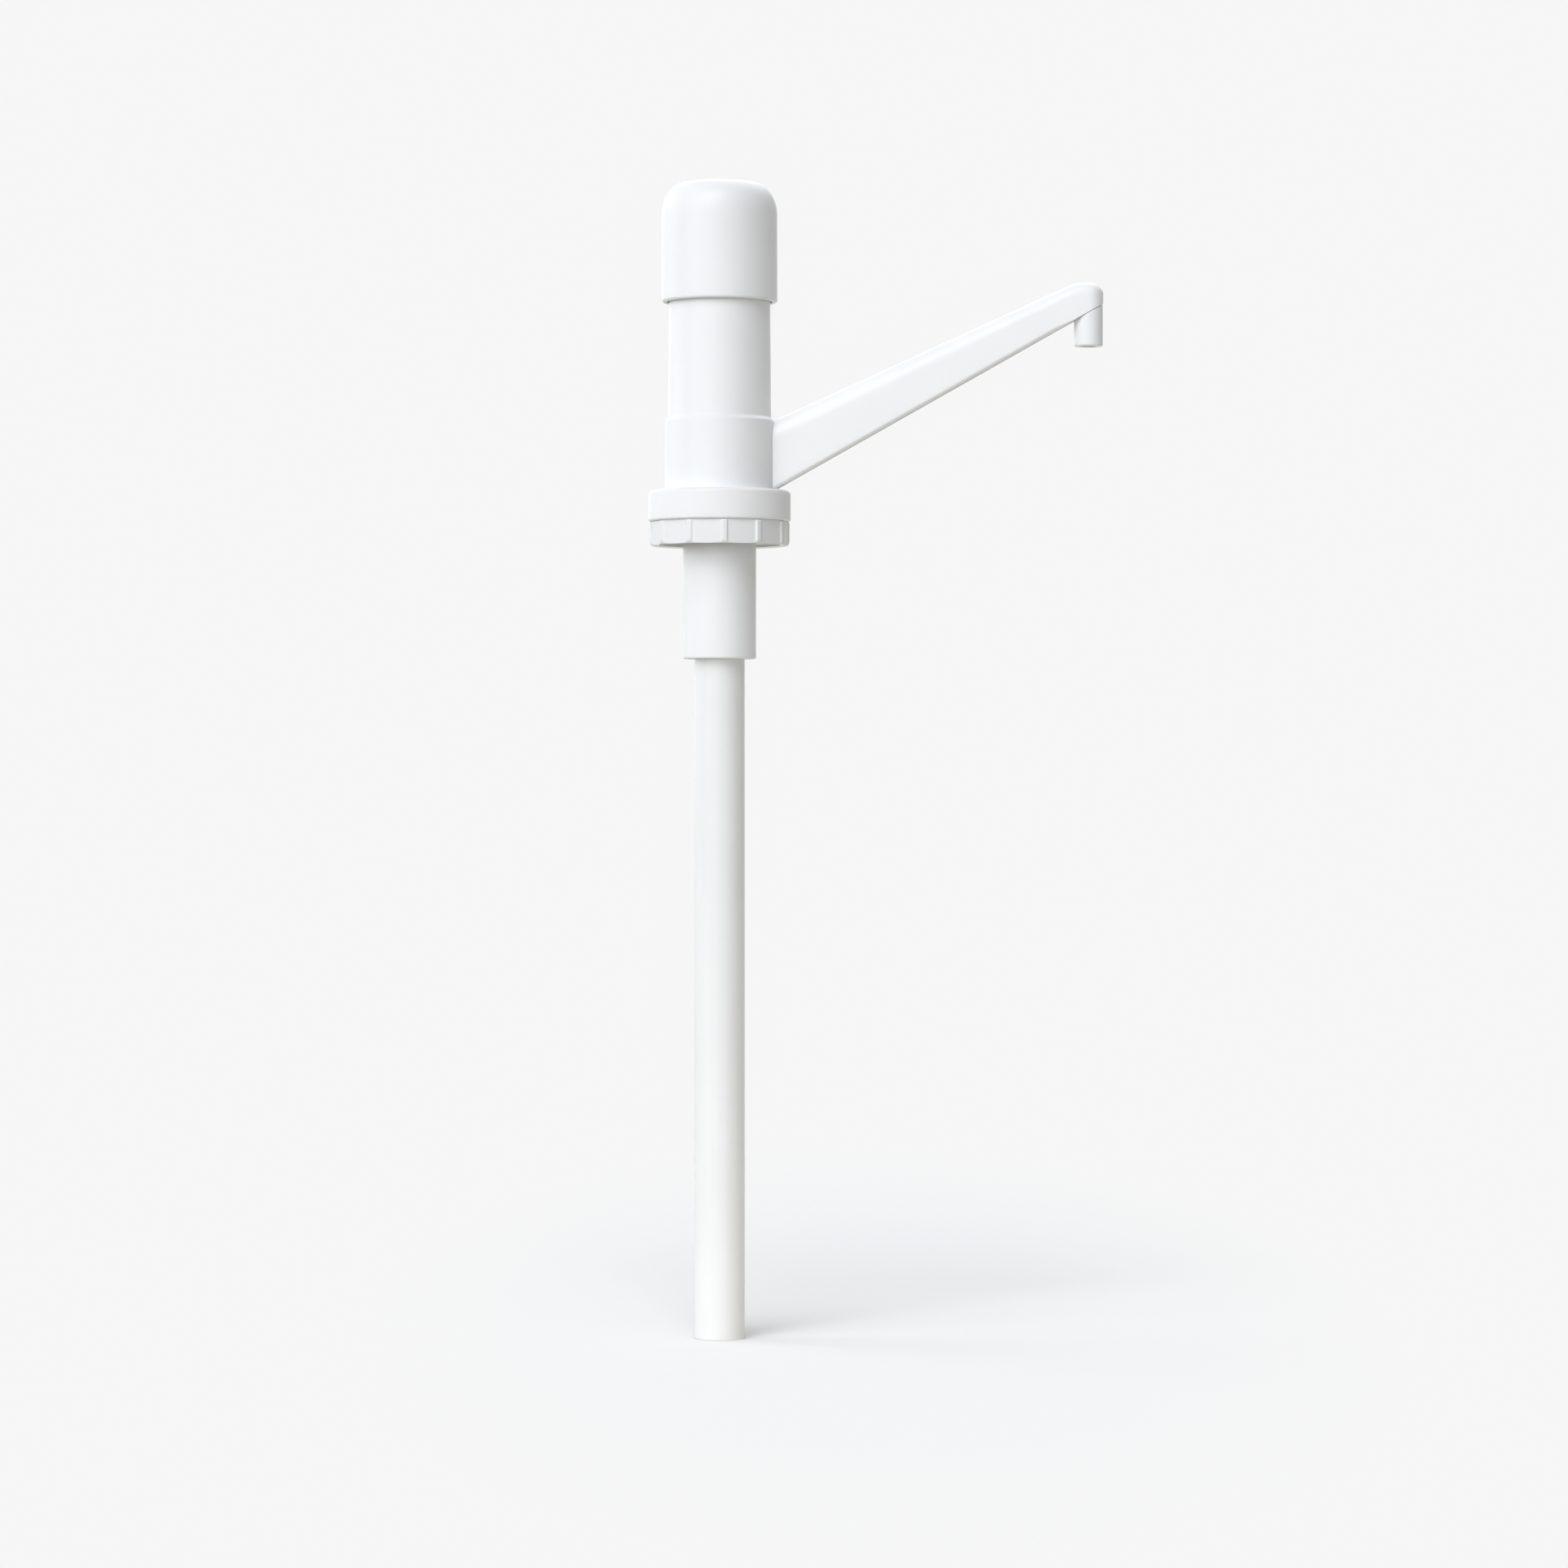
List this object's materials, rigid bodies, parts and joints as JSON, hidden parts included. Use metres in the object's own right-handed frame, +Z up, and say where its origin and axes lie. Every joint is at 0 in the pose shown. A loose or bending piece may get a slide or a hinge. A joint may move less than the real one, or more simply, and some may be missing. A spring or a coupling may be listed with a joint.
{
  "type": "dosing pump",
  "caption": "Hand dosing pump for a canister neck: press cap over a sprung plunger, fixed slanted spout, union nut, valve cylinder and long dip tube.",
  "frame": {"origin": "on the pump axis at the neck sealing plane, the underside of the neck gasket", "axes": "+Z up along the pump axis, +X along the spout, +Y completes the right-handed frame"},
  "size_m": [0.1681, 0.0526, 0.4273],
  "materials": {
    "white_plastic": "satin moulded white",
    "tube_plastic": "extruded, milky white",
    "seal_rubber": "matt grey",
    "ball_steel": "polished",
    "spring_steel": "drawn wire"
  },
  "bodies": {
    "pump": {"spout_housing": "white_plastic", "guide_sleeve": "white_plastic", "spout_arm": "white_plastic", "spout_plate": "white_plastic", "nozzle": "white_plastic", "spout_o_ring": "seal_rubber", "neck_gasket": "seal_rubber", "pump_cylinder": "white_plastic", "cylinder_flange": "white_plastic", "cylinder_o_ring": "seal_rubber", "dip_tube": "tube_plastic", "ball_cage": "white_plastic", "return_spring": "spring_steel", "upper_barrel": "white_plastic", "barrel_ring": "white_plastic", "barrel_gasket": "seal_rubber"},
    "nut": {"union_nut": "white_plastic"},
    "plunger": {"push_cap": "white_plastic", "plunger_stem": "white_plastic", "piston_head": "white_plastic", "piston_seal": "seal_rubber", "upper_seal": "seal_rubber"},
    "inlet_valve": {"inlet_ball": "ball_steel"},
    "outlet_valve": {"discharge_ball": "ball_steel"}
  },
  "joints": [
    {"name": "press", "type": "slide", "parent": "pump", "child": "plunger", "axis": [0, 0, -1], "range_m": [0, 0.03], "stiffness_N_per_m": 300, "springref_m": -0.04, "deforming": ["return_spring"]},
    {"name": "nut_turn", "type": "hinge", "parent": "pump", "child": "nut", "pos_m": [0, 0, 0], "axis": [0, 0, 1], "continuous": true},
    {"name": "inlet_ball_lift", "type": "slide", "parent": "pump", "child": "inlet_valve", "axis": [0, 0, 1], "range_m": [0, 0.0025]},
    {"name": "outlet_ball_lift", "type": "slide", "parent": "plunger", "child": "outlet_valve", "axis": [0, 0, 1], "range_m": [0, 0.002]}
  ]
}
